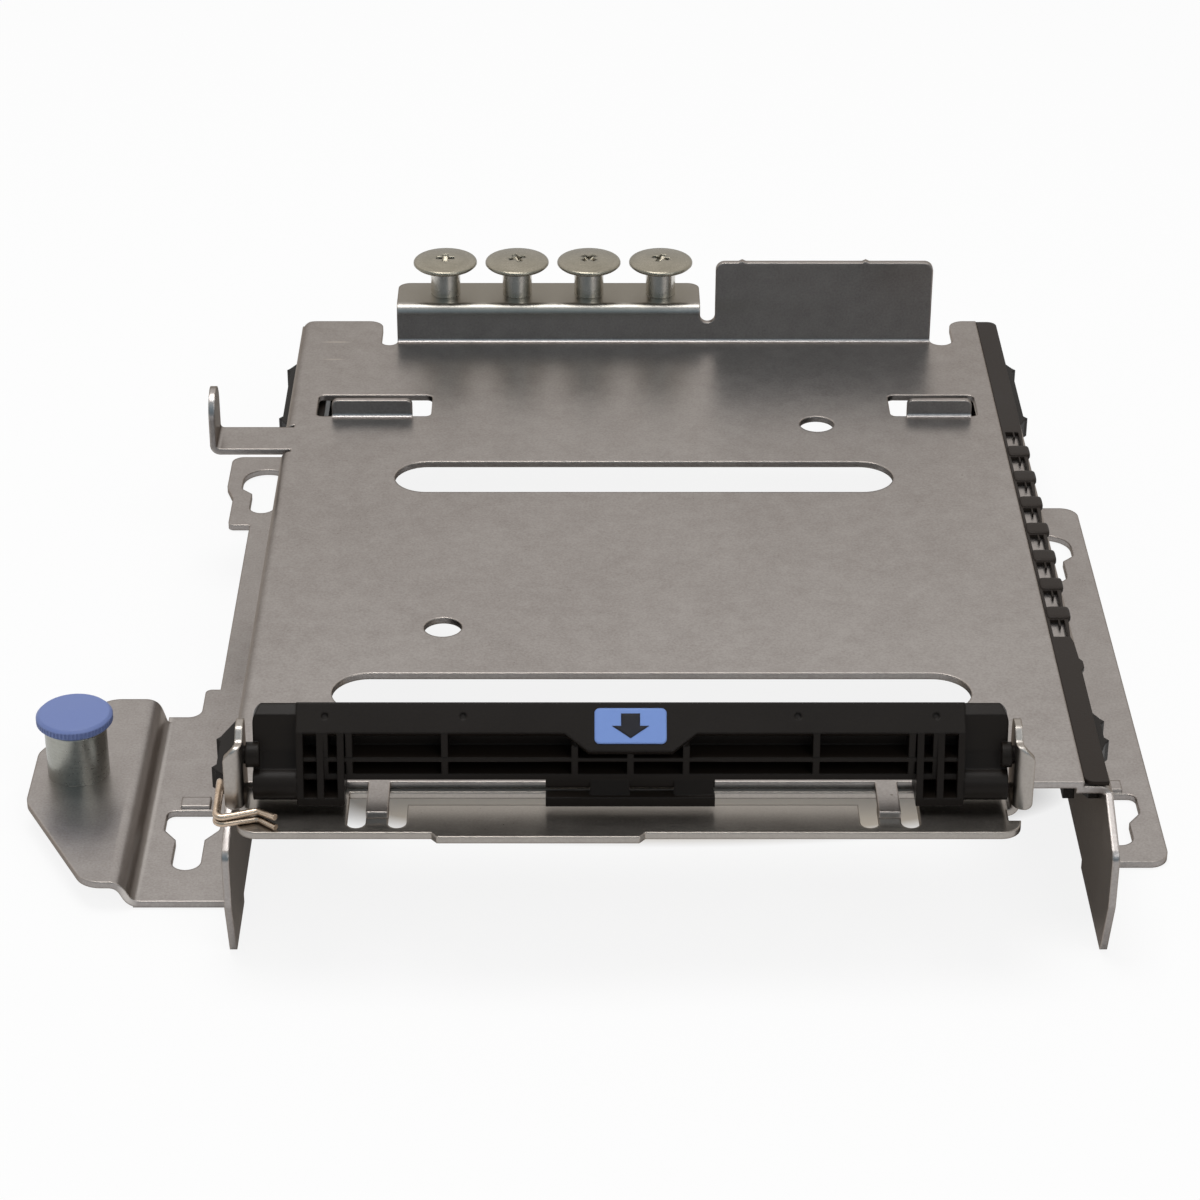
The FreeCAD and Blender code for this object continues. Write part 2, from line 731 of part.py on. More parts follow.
def bracket_ears():
    """Two pivot ears folded up from the bracket, each with its front edge folded outward."""
    inner_left = left_ear_x + sheet
    inner_right = right_ear_x - sheet
    tip_left = left_ear_x - ear_wing
    tip_right = right_ear_x + ear_wing
    base = [(inner_left, ear_top), (inner_left, bracket_z), (inner_right, bracket_z), (inner_right, ear_top)]
    finger_rear = ear_rear_y - edge_break
    finger_front = finger_rear - ear_finger
    low = bracket_z - sheet
    shape = side([(ear_front_y, low), (ear_rear_y, low), (ear_rear_y, wing_top, ear_round),
                  (finger_rear, ear_top, ear_round), (finger_front, ear_top, ear_round),
                  (finger_front - wing_slant, wing_top, ear_round), (ear_front_y, wing_top, ear_round)],
                 tip_left, tip_right)
    strip = front(folded(base), ear_front_y + sheet + bend, ear_rear_y)
    left_fold = [(inner_left, ear_rear_y), (inner_left, ear_front_y), (tip_left, ear_front_y)]
    right_fold = [(tip_right, ear_front_y), (inner_right, ear_front_y), (inner_right, ear_rear_y)]
    lift = bracket_z + sheet
    wings = [plan(folded(fold), lift, ear_top) for fold in (left_fold, right_fold)]
    wing_tip = wing_top - wing_slant
    outline = front([(tip_left, lift, ear_round), (tip_right, lift, ear_round),
                     (tip_right, wing_tip, ear_round), (right_ear_x, wing_top), (right_ear_x, ear_top),
                     (left_ear_x, ear_top), (left_ear_x, wing_top), (tip_left, wing_tip, ear_round)],
                    ear_front_y, ear_rear_y)
    return [strip.common(shape)] + [wing.common(shape).common(outline) for wing in wings]


def latch_bracket():
    """Separate folded bracket under the deck's front: shelf, window, relief notches and two pivot ears."""
    root = sheet + bend
    relief = ear_front_y - sheet
    lip = -lip_reach
    bulge = lip - lip_bulge
    low = bracket_z - sheet
    shelf = plan([(left_ear_x + root, sill_back), (left_ear_x + root, relief), (left_ear_x, relief),
                  (left_ear_x, lip, bracket_round), (bulge_left, lip), (bulge_left + bulge_slant, bulge),
                  (bulge_right - bulge_slant, bulge), (bulge_right, lip), (right_ear_x, lip, bracket_round),
                  (right_ear_x, relief), (right_ear_x - root, relief), (right_ear_x - root, sill_back)],
                 low, bracket_z)
    body = fused([shelf] + bracket_ears())
    window_left = left_tongue_x - relief_width
    window_right = right_tongue_x + tongue_width + relief_width
    cuts = [box(window_left, window_right, -shelf_back, -sill_front, low - overrun, bracket_z + overrun)]
    end = relief_width * full_round
    for tongue_x in tongues:
        for x in (tongue_x - relief_width, tongue_x + tongue_width):
            notch = [(x, -relief_reach, end), (x + relief_width, -relief_reach, end),
                     (x + relief_width, -sill_front), (x, -sill_front)]
            cuts.append(plan(notch, low - overrun, bracket_z + overrun))
    cuts.append(rod(pivot_d / 2 + running, 2 * tray_width, vec(-mid_x, pivot_y, pivot_z), vec(1, 0, 0)))
    return body.cut(cuts).removeSplitter()


def face_point(distance, depth=0.0):
    """(y, z) on the latch's sloping face, so far down from its upper edge and so deep below its skin."""
    y = face_top_y + distance * slope_y - depth * slope_z
    z = face_top_z + distance * slope_z + depth * slope_y
    return (y, z)


def face_plate(x0, x1, length):
    """Stretch of the sloping face with the back wall behind it."""
    return side([(latch_back, face_top_z - face_bevel), (face_top_y, face_top_z), face_point(length),
                 face_point(length, skin), face_point(skin, skin), (latch_back - skin, bar_floor),
                 (latch_back, bar_floor)], x0, x1)


def long_rib(x, edge, low):
    """Upright rib between the face's lower edge and the bar's underside."""
    back = latch_back - skin / 2
    corners = [(back, low), (back, edge[1] + skin), edge, (rib_front, mid_rib_z), (rib_front, low)]
    return side(corners, x, x + rib)


def latch_ends():
    """End blocks with their rolls, and the deep pockets beside them."""
    pieces = []
    edge = face_point(face_side)
    roll_y = end_front + roll_d / 2
    roll_z = end_floor + roll_d / 2
    back = latch_back - skin
    right_block = latch_right - end_width
    for x, pocket in ((latch_left, latch_left + end_width), (right_block, right_block - end_pocket)):
        pieces.append(side([(latch_back, end_floor), (latch_back, face_top_z - face_bevel),
                            (face_top_y - skin, face_top_z - skin),
                            (roll_y + roll_d / 4, roll_z + roll_d, end_hollow),
                            (roll_y, roll_z + roll_d / 2), (roll_y, end_floor)], x, x + end_width))
        pieces.append(rod(roll_d / 2, end_width, vec(x, roll_y, roll_z), vec(1, 0, 0)))
        pieces.append(side([(latch_back, end_floor), (latch_back, bar_floor), (back, bar_floor),
                            (back, end_floor + skin), (end_front, end_floor + skin), (end_front, end_floor)],
                           pocket, pocket + end_pocket))
        for start in (pocket, pocket + (end_pocket - rib) / 2, pocket + end_pocket - rib):
            pieces.append(side([(back, end_floor), (back, edge[1]), edge, (end_front, end_floor + skin),
                                (end_front, end_floor)], start, start + rib))
    return pieces


def latch_centre_block():
    """Deeper middle of the bar: the dipped face, its ribs and the catch on two legs."""
    edge = face_point(face_centre)
    left = latch_centre - centre_half
    right = latch_centre + centre_half
    far_left = left - centre_slant
    far_right = right + centre_slant
    pieces = [on_face([(far_left, face_side - skin), (far_right, face_side - skin), (far_right, face_side),
                       (right, face_centre), (left, face_centre), (far_left, face_side)], skin, -skin)]
    block_left = latch_centre - block_half
    block_right = latch_centre + block_half
    pieces.append(box(block_left, block_right, rib_front, latch_back, block_floor, bar_floor + rib))
    pieces.append(box(block_left, block_right, catch_front, catch_back, catch_floor, catch_top))
    for offset in (-centre_rib_offset, -rib / 2, centre_rib_offset - rib):
        pieces.append(long_rib(latch_centre + offset, (edge[0] + skin, edge[1]), bar_floor))
    for offset in catch_leg_offsets:
        x = latch_centre + offset
        leg_top = block_floor + skin
        leg = [(catch_front, catch_floor), (catch_back, catch_floor), (catch_back + skin, leg_top),
               (rib_front, leg_top)]
        pieces.append(side(leg, x, x + catch_leg_width))
    return pieces


def latch_pivots():
    """Moulded pins through the ears, with a boss that keeps the bar off each ear."""
    pieces = []
    axis = vec(1, 0, 0)
    for outer, bar_end, inward in ((left_ear_x, latch_left, 1), (right_ear_x, latch_right, -1)):
        root = bar_end + inward * rib
        stub = outer - inward * pivot_stub
        boss = outer + inward * (sheet + boss_play)
        for diameter, start in ((pivot_d, stub), (pivot_boss_d, boss)):
            pieces.append(rod(diameter / 2, abs(root - start), vec(min(start, root), pivot_y, pivot_z), axis))
    return pieces


def latch_bar():
    """One moulding: sloping face, ribs, end blocks, centre block and pivot pins."""
    left = latch_left + end_width
    right = latch_right - end_width
    pieces = [face_plate(left, right, face_side),
              box(left, right, rib_front, latch_back, bar_floor, bar_floor + rib),
              box(left, right, rib_front, latch_back, mid_rib_z, mid_rib_z + mid_rib)]
    for offset in rib_offsets:
        for x in (latch_left + offset, latch_right - offset - rib):
            pieces.append(long_rib(x, face_point(face_side), bar_floor))
    body = fused(pieces + latch_ends() + latch_centre_block() + latch_pivots())
    trims = []
    for x, inward in ((latch_left + face_round, 1), (latch_right - face_round, -1)):
        corner_x = x - inward * face_round
        low = face_top_z - face_round
        square = box(min(x, corner_x), max(x, corner_x), -lip_reach, overrun, low, face_top_z)
        trims.append(square.cut(rod(face_round, 4 * overrun, vec(x, -lip_reach, low), vec(0, 1, 0))))
    y, z = face_point(dimple_drop, dimple_depth)
    for offset in dimple_offsets:
        for x in (latch_left + offset, latch_right - offset):
            trims.append(rod(dimple_d / 2, overrun, vec(x, y, z), vec(0, slope_z, -slope_y)))
    return body.cut(trims).removeSplitter()


def on_face(corners, thickness, lift):
    """Outline (x, distance down the face) raised by a thickness from a lift above the latch's face."""
    def place(u, v):
        y, z = face_point(v, -lift)
        return vec(u, y, z)
    face = Part.Face(rounded_wire(corners, place))
    return face.extrude(vec(0, slope_z, -slope_y) * thickness)


def latch_label():
    left = latch_centre - label_width / 2
    right = latch_centre + label_width / 2
    low = label_drop + label_height
    return on_face([(left, label_drop, label_round), (right, label_drop, label_round),
                    (right, low, label_round), (left, low, label_round)], label_thick, 0.0)


def latch_arrow():
    top = label_drop + (label_height - arrow_height) / 2
    tip = top + arrow_height
    wide = tip - arrow_head_length
    neck = arrow_neck / 2
    head = arrow_head / 2
    return on_face([(latch_centre - neck, top), (latch_centre + neck, top), (latch_centre + neck, wide),
                    (latch_centre + head, wide), (latch_centre, tip), (latch_centre - head, wide),
                    (latch_centre - neck, wide)], arrow_thick, label_thick)


def bent_wire(points, radius):
    """Edges along straight runs joined by tangent arcs of one radius."""
    edges = []
    start = points[0]
    for before, corner, after in zip(points, points[1:], points[2:]):
        a = (before - corner).normalize()
        b = (after - corner).normalize()
        half = a.getAngle(b) / 2
        run = radius / math.tan(half)
        middle = corner + (a + b).normalize() * (radius / math.sin(half) - radius)
        edges.append(Part.LineSegment(start, corner + a * run).toShape())
        edges.append(Part.Arc(corner + a * run, middle, corner + b * run).toShape())
        start = corner + b * run
    edges.append(Part.LineSegment(start, points[-1]).toShape())
    return edges


def latch_spring():
    """Hairpin of round wire: its loop stands outside the left ear, its strands wave in front of the bar."""
    radius = wire_d / 2
    low = bracket_z + radius + touch
    high = low + 2 * wire_bend + loop_straight
    x = left_ear_x - ear_wing - wire_gap - radius
    points = [vec(prong_reach, prong_y, low), vec(wire_wave_x, wire_wave_y, low), vec(x, wire_corner_y, low),
              vec(x, loop_y, low), vec(x, loop_y, high), vec(x, wire_corner_y, low + strand_rise),
              vec(wire_wave_x, wire_wave_y, low + wave_rise), vec(prong_reach, prong_y, low + prong_rise)]
    path = Part.Wire(bent_wire(points, wire_bend))
    section = Part.Wire(Part.makeCircle(radius, points[0], points[1] - points[0]))
    return path.makePipeShell([section], True, False, 1)


def guide_rail(mirrored):
    """Moulded channel inside a wall: it takes the screws' heads, and clips through the wall in two places."""
    rear = deck_length - rail_setback
    x0 = sheet + touch
    cavity = x0 + rail_back
    lip = cavity + head_thick + 2 * head_room
    x1 = lip + rail_lip
    head = head_d / 2 + head_room
    neck = shoulder_d / 2 + head_room
    section = [(x0, rail_bottom), (x1, rail_bottom), (x1, rail_top), (x0, rail_top, rail_round)]
    body = front(section, rail_front, rear)
    stop = rear - rail_stop
    before = rail_front - overrun
    under = rail_bottom - overrun
    nose_z = rail_top - rail_nose
    slant_end = rail_front + rail_slant
    cuts = [box(cavity, lip, before, stop, channel_z - head, channel_z + head),
            box(lip - touch, x1 + overrun, before, stop - head + neck, channel_z - neck, channel_z + neck),
            side([(before, under), (before, nose_z), (rail_front, nose_z), (slant_end, rail_bottom),
                  (slant_end, under)], x0 - overrun, x1 + overrun)]
    lugs = []
    low = clip_z - clip_height / 2
    high = clip_z + clip_height / 2
    for y, length, proud, ramp_front, ramp_rear in (right_clip if mirrored else left_clip, rear_clip):
        face = -proud
        end = y + length
        lugs.append(plan([(x0 + touch, y), (0.0, y), (face, y + ramp_front), (face, end - ramp_rear),
                          (0.0, end), (x0 + touch, end)], low, high))
        for start in (y + ramp_front, end - ramp_rear - barb):
            lugs.append(plan([(face + touch, start), (face - barb_proud, start + barb / 2),
                              (face + touch, start + barb)], low, high))
    body = fused([body.cut(cuts)] + lugs)
    return body.mirror(vec(mid_x, 0, 0), vec(1, 0, 0)) if mirrored else body


def edge_guard():
    """Moulded strip in the recess along the right edge, with a row of windows between shouldered bars."""
    top = -guard_sink
    base = -guard_depth + touch
    x0 = guard_x + touch
    x1 = tray_width - guard_inset
    y0 = guard_front
    half = guard_window / 2
    middles = [guard_first + index * guard_pitch for index in range(guard_windows)]
    outline = [(x0, y0, guard_round), (x1, y0), (x1, snap_y - snap_length / 2),
               (x1 + snap_proud, snap_y - snap_length / 4), (x1 + snap_proud, snap_y + snap_length / 4),
               (x1, snap_y + snap_length / 2)]
    for y in middles:
        outline += [(x1 - guard_waist, y - half - guard_shoulder, guard_round), (x1 - guard_dip, y - half),
                    (x1 - guard_waist, y + half)]
    outline += [(x1, middles[-1] + guard_pitch), (x1, deck_length, guard_round), (x0, deck_length)]
    cuts = []
    stubs = []
    for y in middles:
        cuts.append(box(x0 + guard_edge, x1 - guard_bar, y - half, y + half, base - overrun / 2, overrun))
        x = x0 + guard_edge + guard_tick_x
        stubs.append(box(x, x + guard_tick, y + half - guard_tick_length, y + half + touch, base, top))
    return fused([plan(outline, base, top).cut(cuts)] + stubs)


def turned(profile):
    """Solid of revolution about the plunger's axis from (radius, z) points."""
    points = [vec(u, 0, v) for u, v in profile]
    points.append(points[0])
    solid = Part.Face(Part.makePolygon(points)).revolve(vec(0, 0, 0), vec(0, 0, 1), 360)
    solid.translate(vec(plunger_centre_x, plunger_y, 0))
    return solid


def plunger_barrel():
    outer = barrel_od / 2
    inner = outer - barrel_wall
    stem = stem_d / 2 + running
    return turned([(inner, plate_z), (outer, plate_z), (outer, barrel_top - edge_break),
                   (outer - edge_break, barrel_top), (stem, barrel_top), (stem, chamber_top),
                   (inner, chamber_top)])


def plunger_bush():
    """Flanged bush that guides the pin, seated on the plate and riveted over below it."""
    bore = pin_d / 2 + running
    flange = barrel_od / 2 - barrel_wall
    under = plate_z - sheet
    rivet = bush_rivet_od / 2
    seat = plate_z + bush_seat
    neck = bush_od / 2
    return turned([(bore, seat), (flange, seat), (flange, plate_z), (neck, plate_z), (neck, under),
                   (rivet, under), (rivet - edge_break, under - bush_rivet), (bore, under - bush_rivet)])


def plunger_pin():
    tip = floor_z + pin_clear
    pin = pin_d / 2
    stem = stem_d / 2
    top = barrel_top + cap_gap + cap_thick / 2
    return turned([(0, tip), (pin - pin_chamfer, tip), (pin, tip + pin_chamfer), (pin, collar_bottom),
                   (collar_d / 2, collar_bottom), (collar_d / 2, collar_top), (stem, collar_top), (stem, top),
                   (0, top)])


def plunger_cap():
    """Pull cap with a fluted rim and a lightly crowned top, pressed on the stem."""
    under = barrel_top + cap_gap
    rim = cap_d / 2
    seat = under + cap_thick / 2
    top = under + cap_thick
    stem = stem_d / 2
    cap = turned([(stem, under), (rim - edge_break, under), (rim, under + edge_break), (rim, top - cap_bevel),
                  (rim - cap_bevel, top), (0, top + cap_crown), (0, seat), (stem, seat)])
    flutes = []
    for index in range(cap_grips):
        turn = 2 * math.pi * index / cap_grips
        place = vec(plunger_centre_x + rim * math.cos(turn), plunger_y + rim * math.sin(turn), under - touch)
        flutes.append(rod(cap_grip_r, cap_thick - cap_bevel, place, vec(0, 0, 1)))
    return cap.cut(flutes)


def plunger_spring():
    """Open coil between the pin's collar and the barrel's top."""
    wire = spring_wire / 2
    low = collar_top + wire + touch
    height = chamber_top - wire - touch - low
    pitch = height / spring_turns
    radius = spring_mean_d / 2
    helix = Part.makeLongHelix(pitch, height, radius)
    section = Part.Wire(Part.makeCircle(wire, vec(radius, 0, 0), vec(0, 2 * math.pi * radius, pitch)))
    coil = Part.Wire(helix.Edges).makePipeShell([section], True, True)
    coil.translate(vec(plunger_centre_x, plunger_y, low))
    return coil


def write(name, shape):
    shape.translate(origin * -1)
    if len(shape.Solids) == 1:
        shape = shape.Solids[0]
    shape.exportStep(os.path.join("parts", name + ".step"))
    span = shape.BoundBox
    size = "%.1f x %.1f x %.1f" % (span.XLength, span.YLength, span.ZLength)
    print(name, "solids", len(shape.Solids), "valid", shape.isValid(), "volume %.1f" % shape.Volume, size)


os.makedirs("parts", exist_ok=True)
write("tray_sheet", tray_sheet())
write("left_guide_rail", guide_rail(False))
write("right_guide_rail", guide_rail(True))
write("edge_guard", edge_guard())
for number in range(screws):
    write("shoulder_screw_%d" % (number + 1), shoulder_screw(number))
write("latch_bracket", latch_bracket())
write("latch_bar", latch_bar())
write("latch_label", latch_label())
write("latch_arrow", latch_arrow())
write("latch_spring", latch_spring())
write("plunger_barrel", plunger_barrel())
write("plunger_bush", plunger_bush())
write("plunger_pin", plunger_pin())
write("plunger_cap", plunger_cap())
write("plunger_spring", plunger_spring())
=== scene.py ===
# %% [markdown]
# A drive caddy of folded, zinc-plated sheet steel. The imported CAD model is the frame: every folded edge,
# slot, moulded rail and screw is already a solid there, so this lesson is mostly about finishes. Each
# piece gets a material that is built from what it is made of and how its surface was made.

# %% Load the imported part
import math

import bpy
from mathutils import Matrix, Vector


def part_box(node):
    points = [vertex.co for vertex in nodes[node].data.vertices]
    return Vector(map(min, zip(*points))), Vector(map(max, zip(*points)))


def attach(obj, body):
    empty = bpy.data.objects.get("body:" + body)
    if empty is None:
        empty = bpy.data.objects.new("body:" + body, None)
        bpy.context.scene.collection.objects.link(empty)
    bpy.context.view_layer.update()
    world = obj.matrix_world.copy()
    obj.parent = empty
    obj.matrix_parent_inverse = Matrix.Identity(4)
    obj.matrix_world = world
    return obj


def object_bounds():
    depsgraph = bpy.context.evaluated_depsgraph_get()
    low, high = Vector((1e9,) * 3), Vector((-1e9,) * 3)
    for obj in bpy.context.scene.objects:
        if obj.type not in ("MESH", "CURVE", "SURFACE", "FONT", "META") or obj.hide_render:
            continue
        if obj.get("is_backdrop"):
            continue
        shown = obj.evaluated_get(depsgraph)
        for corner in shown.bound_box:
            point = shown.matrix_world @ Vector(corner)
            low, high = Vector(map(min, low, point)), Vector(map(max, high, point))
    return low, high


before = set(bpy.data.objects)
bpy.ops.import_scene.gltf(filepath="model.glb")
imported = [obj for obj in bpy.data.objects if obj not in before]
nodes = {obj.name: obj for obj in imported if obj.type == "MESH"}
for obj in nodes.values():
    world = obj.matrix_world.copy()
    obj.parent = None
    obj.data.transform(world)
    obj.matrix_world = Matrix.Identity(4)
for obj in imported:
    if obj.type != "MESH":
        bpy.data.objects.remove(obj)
cad_low, cad_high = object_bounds()
MM = 0.001
print("nodes", len(nodes), "box", [round(v, 4) for v in cad_low], [round(v, 4) for v in cad_high])

# %% [markdown]
# Colours are written as sRGB hex values, the way a paint chart or a photo editor shows them. Shaders work
# in linear light, so one function converts them. Another adds a node with its settings and links: a value
# that is a socket is linked, and any other value is set on the input.

# %% Colour and node helpers
def linear(hex_colour):
    channels = [int(hex_colour[i:i + 2], 16) / 255 for i in (1, 3, 5)]
    return [c / 12.92 if c <= 0.04045 else ((c + 0.055) / 1.055) ** 2.4 for c in channels] + [1.0]


def add(tree, kind, values=None, **settings):
    node = tree.nodes.new(kind)
    for name, setting in settings.items():
        setattr(node, name, setting)
    for socket, value in (values or {}).items():
        if isinstance(value, bpy.types.NodeSocket):
            tree.links.new(value, node.inputs[socket])
        else:
            node.inputs[socket].default_value = value
    return node


def new_material(name):
    material = bpy.data.materials.new(name)
    material.use_nodes = True
    material.node_tree.nodes.clear()
    return material, material.node_tree


def per_metre(size_mm):
    """Texture scale that makes a pattern repeat at about this size in millimetres."""
    return 1.0 / (size_mm * MM)


print("mid grey in linear light", round(linear("#808080")[0], 3))

# %% [markdown]
# Steel that has been handled carries single marks, and the same kind of mark also lays painted shade and
# painted highlight. Each is a soft ellipse: a Mapping node shrinks the space around the mark's centre, so
# that its outline lies at a distance of 1, and the mark fades out between its core and that outline.

# %% Single marks
MARK_CORE = 0.5


def ellipse(tree, place, centre, half):
    """Distance from a centre, counted in half sizes. Both are given in millimetres."""
    spot = add(tree, "ShaderNodeMapping", {"Vector": place, "Location": [v * MM for v in centre],
                                           "Scale": [v * MM for v in half]}, vector_type="TEXTURE")
    return add(tree, "ShaderNodeVectorMath", {0: spot.outputs[0]}, operation="LENGTH").outputs["Value"]


def add_marks(tree, place, colour, marks):
    """Lay marks of (centre, half size, colour, strength) over a colour."""
    for centre, half, mark_colour, strength in marks:
        away = ellipse(tree, place, centre, half)
        rub_and_painted_light = add(tree, "ShaderNodeMapRange", {"Value": away, "From Min": MARK_CORE, "From Max": 1.0,
                                                  "To Min": strength, "To Max": 0.0}).outputs[0]
        colour = add(tree, "ShaderNodeMix", {"Factor": rub_and_painted_light, 6: colour, 7: linear(mark_colour)},
                     data_type="RGBA").outputs[2]
    return colour


print("a mark fades from", MARK_CORE, "of its half size")

# %% [markdown]
# Plating leaves a few dark pits. A Voronoi pattern has room for one pit in each cell, and the cell's own
# random colour decides whether it has one.

# %% Pits in the plating
PIT_CELL = 9.0
PIT_SIZE = 0.2
PIT_SHARE = 0.42
PIT_STRENGTH = 0.8
PIT_BROWN = "#5d564e"


def add_pits(tree, place, colour):
    cells = add(tree, "ShaderNodeTexVoronoi", {"Vector": place, "Scale": per_metre(PIT_CELL)}).outputs
    chance = add(tree, "ShaderNodeMath", {0: cells["Color"], 1: PIT_SHARE},
                 operation="LESS_THAN").outputs[0]
    near = add(tree, "ShaderNodeMapRange", {"Value": cells["Distance"],
                                            "From Min": 0.5 * PIT_SIZE / PIT_CELL,
                                            "From Max": 1.5 * PIT_SIZE / PIT_CELL,
                                            "To Min": PIT_STRENGTH, "To Max": 0.0}).outputs[0]
    pit = add(tree, "ShaderNodeMath", {0: chance, 1: near}, operation="MULTIPLY").outputs[0]
    return add(tree, "ShaderNodeMix", {"Factor": pit, 6: colour, 7: linear(PIT_BROWN)},
               data_type="RGBA").outputs[2]


print("pits of", PIT_SIZE, "mm in", PIT_CELL, "mm cells")

# %% [markdown]
# A sheared edge is bare and slightly rounded. The Bevel node rounds the shading there, and where its
# normal departs from the true one the metal is painted browner: a painted reflection of the warm shade
# that these edges face.

# %% Sheared edges
EDGE_ROUND = 0.4
EDGE_SAMPLES = 6
# painted reflection: the warm shade that the sheared edges face
PAINTED_EDGE_BROWN = "#ad9a86"
PAINTED_EDGE_STRENGTH = 0.35


def add_edges(tree, colour, rounded):
    true = add(tree, "ShaderNodeNewGeometry").outputs["Normal"]
    alike = add(tree, "ShaderNodeVectorMath", {0: rounded, 1: true},
                operation="DOT_PRODUCT").outputs["Value"]
    edge = add(tree, "ShaderNodeMapRange", {"Value": alike, "From Min": 0.99, "From Max": 0.85,
                                            "To Min": 0.0, "To Max": PAINTED_EDGE_STRENGTH}).outputs[0]
    return add(tree, "ShaderNodeMix", {"Factor": edge, 6: colour, 7: linear(PAINTED_EDGE_BROWN)},
               data_type="RGBA").outputs[2]


print("edges rounded by", EDGE_ROUND, "mm")

# %% [markdown]
# Zinc-plated sheet steel: the strip is rolled, plated and passivated before it is cut and folded. It gives
# a soft warm-grey mirror, duller at grazing angles than clean metal, with a fine crystalline grain and
# faint cloudiness from handling. A metal's base colour is what it reflects, so a Principled shader with
# metallic at 1 carries it. Three noises of different size share the tone. The finest is the grain: it is
# drawn at 0.35 mm, coarser than the real crystals, so that it shows.

# %% Zinc-plated steel
ZINC_GRAIN = 0.35
ZINC_LAYERS = ((ZINC_GRAIN, 2.0, 0.6), (3.0, 3.0, 0.55), (40.0, 2.0, 0.5))
ZINC_STOPS = (0.37, 0.63)
ROUGH_SWING = 0.04
PLATING_RELIEF = 0.02
GRAZING_GREY = "#b8b0a7"


def zinc_steel(name, pale, dark, rough, relief, marks):
    """Sheet finish between two greys, with single marks."""
    material, tree = new_material(name)
    place = add(tree, "ShaderNodeTexCoord").outputs["Object"]
    grain, patch, cloud = [
        add(tree, "ShaderNodeTexNoise", {"Vector": place, "Scale": per_metre(size_mm), "Detail": detail,
                                         "Roughness": harshness}).outputs["Fac"]
        for size_mm, detail, harshness in ZINC_LAYERS]
    soft = add(tree, "ShaderNodeMix", {"Factor": 0.5, 2: patch, 3: cloud}, data_type="FLOAT").outputs[0]
    tone = add(tree, "ShaderNodeMix", {"Factor": 0.5, 2: soft, 3: grain}, data_type="FLOAT").outputs[0]
    ramp = add(tree, "ShaderNodeValToRGB", {"Fac": tone})
    for stop, position, grey in zip(ramp.color_ramp.elements, ZINC_STOPS, (dark, pale)):
        stop.position, stop.color = position, linear(grey)
    rounded = add(tree, "ShaderNodeBevel", {"Radius": EDGE_ROUND * MM}, samples=EDGE_SAMPLES).outputs[0]
    pitted = add_pits(tree, place, ramp.outputs["Color"])
    colour = add_edges(tree, add_marks(tree, place, pitted, marks), rounded)
    roughness = add(tree, "ShaderNodeMapRange", {"Value": tone, "From Min": 0.3, "From Max": 0.7,
                                                 "To Min": rough - ROUGH_SWING,
                                                 "To Max": rough + ROUGH_SWING}).outputs[0]
    bump = add(tree, "ShaderNodeBump", {"Height": grain, "Strength": relief,
                                        "Distance": PLATING_RELIEF * MM, "Normal": rounded}).outputs[0]
    shader = add(tree, "ShaderNodeBsdfPrincipled", {"Base Color": colour, "Metallic": 1.0,
                                                    "Roughness": roughness, "Normal": bump,
                                                    "Specular Tint": linear(GRAZING_GREY)})
    add(tree, "ShaderNodeOutputMaterial", {"Surface": shader.outputs[0]})
    return material


print("zinc layers in mm", [layer[0] for layer in ZINC_LAYERS])

# %% [markdown]
# The sheet has two pale scuffs on its deck and two dark ones on its left bend. One large mark is painted
# shade: it darkens the screw shelf where the screws' dark reflections lie. A long one is a painted
# highlight that lightens the slope beside the plunger. The bracket is cut from a smoother strip, so its
# grain has hardly any relief.

# %% The sheet and the bracket
scuffs_and_painted_light = [((-43.1, 68.7, 23.0), (2.8, 0.3, 1.0), "#c2bab2", 0.7),
          ((-43.1, 62.0, 23.0), (2.2, 0.3, 1.0), "#bfb7af", 0.6),
          ((-50.1, -2.5, 22.4), (0.5, 3.2, 1.0), "#4b443c", 0.6),
          ((-49.8, -37.5, 22.4), (0.6, 2.6, 1.0), "#3f3831", 0.7),
          # painted shade: the screw shelf, darkened where the screws' reflections lie
          ((-6.9, 74.0, 29.5), (44.0, 12.0, 3.0), "#918d84", 0.8),
          # painted highlight: the slope beside the plunger, lightened
          ((-64.4, -40.0, 2.0), (1.7, 55.0, 3.6), "#d8d3ce", 0.7)]
sheet_steel = zinc_steel("zinc_plated_sheet_steel", "#a9a4a1", "#96908d", 0.31, 0.1, scuffs_and_painted_light)
bracket_steel = zinc_steel("smooth_zinc_bracket_steel", "#a9a39d", "#9c9690", 0.31, 0.01, [])
print("made", sheet_steel.name, bracket_steel.name, "with", len(scuffs_and_painted_light), "single marks")

# %% [markdown]
# Turned steel: the screws and the plunger's barrel come off a lathe and are plated. Very fine rings follow
# the tool, so colour and roughness vary along the axis. The screws and the barrel stand upright, so bands
# in z are those rings on their sides. The screws are painted paler below a set height: a painted
# highlight for the bright reflections on their upright shanks. Where little open sky reaches the metal,
# as in a cross recess, the colour darkens: painted shade, with some grease. Spring wire is drawn through a
# die, which leaves it smoother and warmer.

# %% Turned steel
TOOL_FEED = 0.25
RING_STRETCH = (0.05, 0.05, 1.0)
TURNED_STOPS = (0.35, 0.65)
TURNED_SWING = 0.05
SHANK_HIGHLIGHT_GREY = "#dcd9d2"
RECESS_REACH = 0.9
RECESS_SAMPLES = 8
GREASE_AND_PAINTED_SHADE = "#3a362f"
GREASE_AND_SHADE_STRENGTH = 0.75


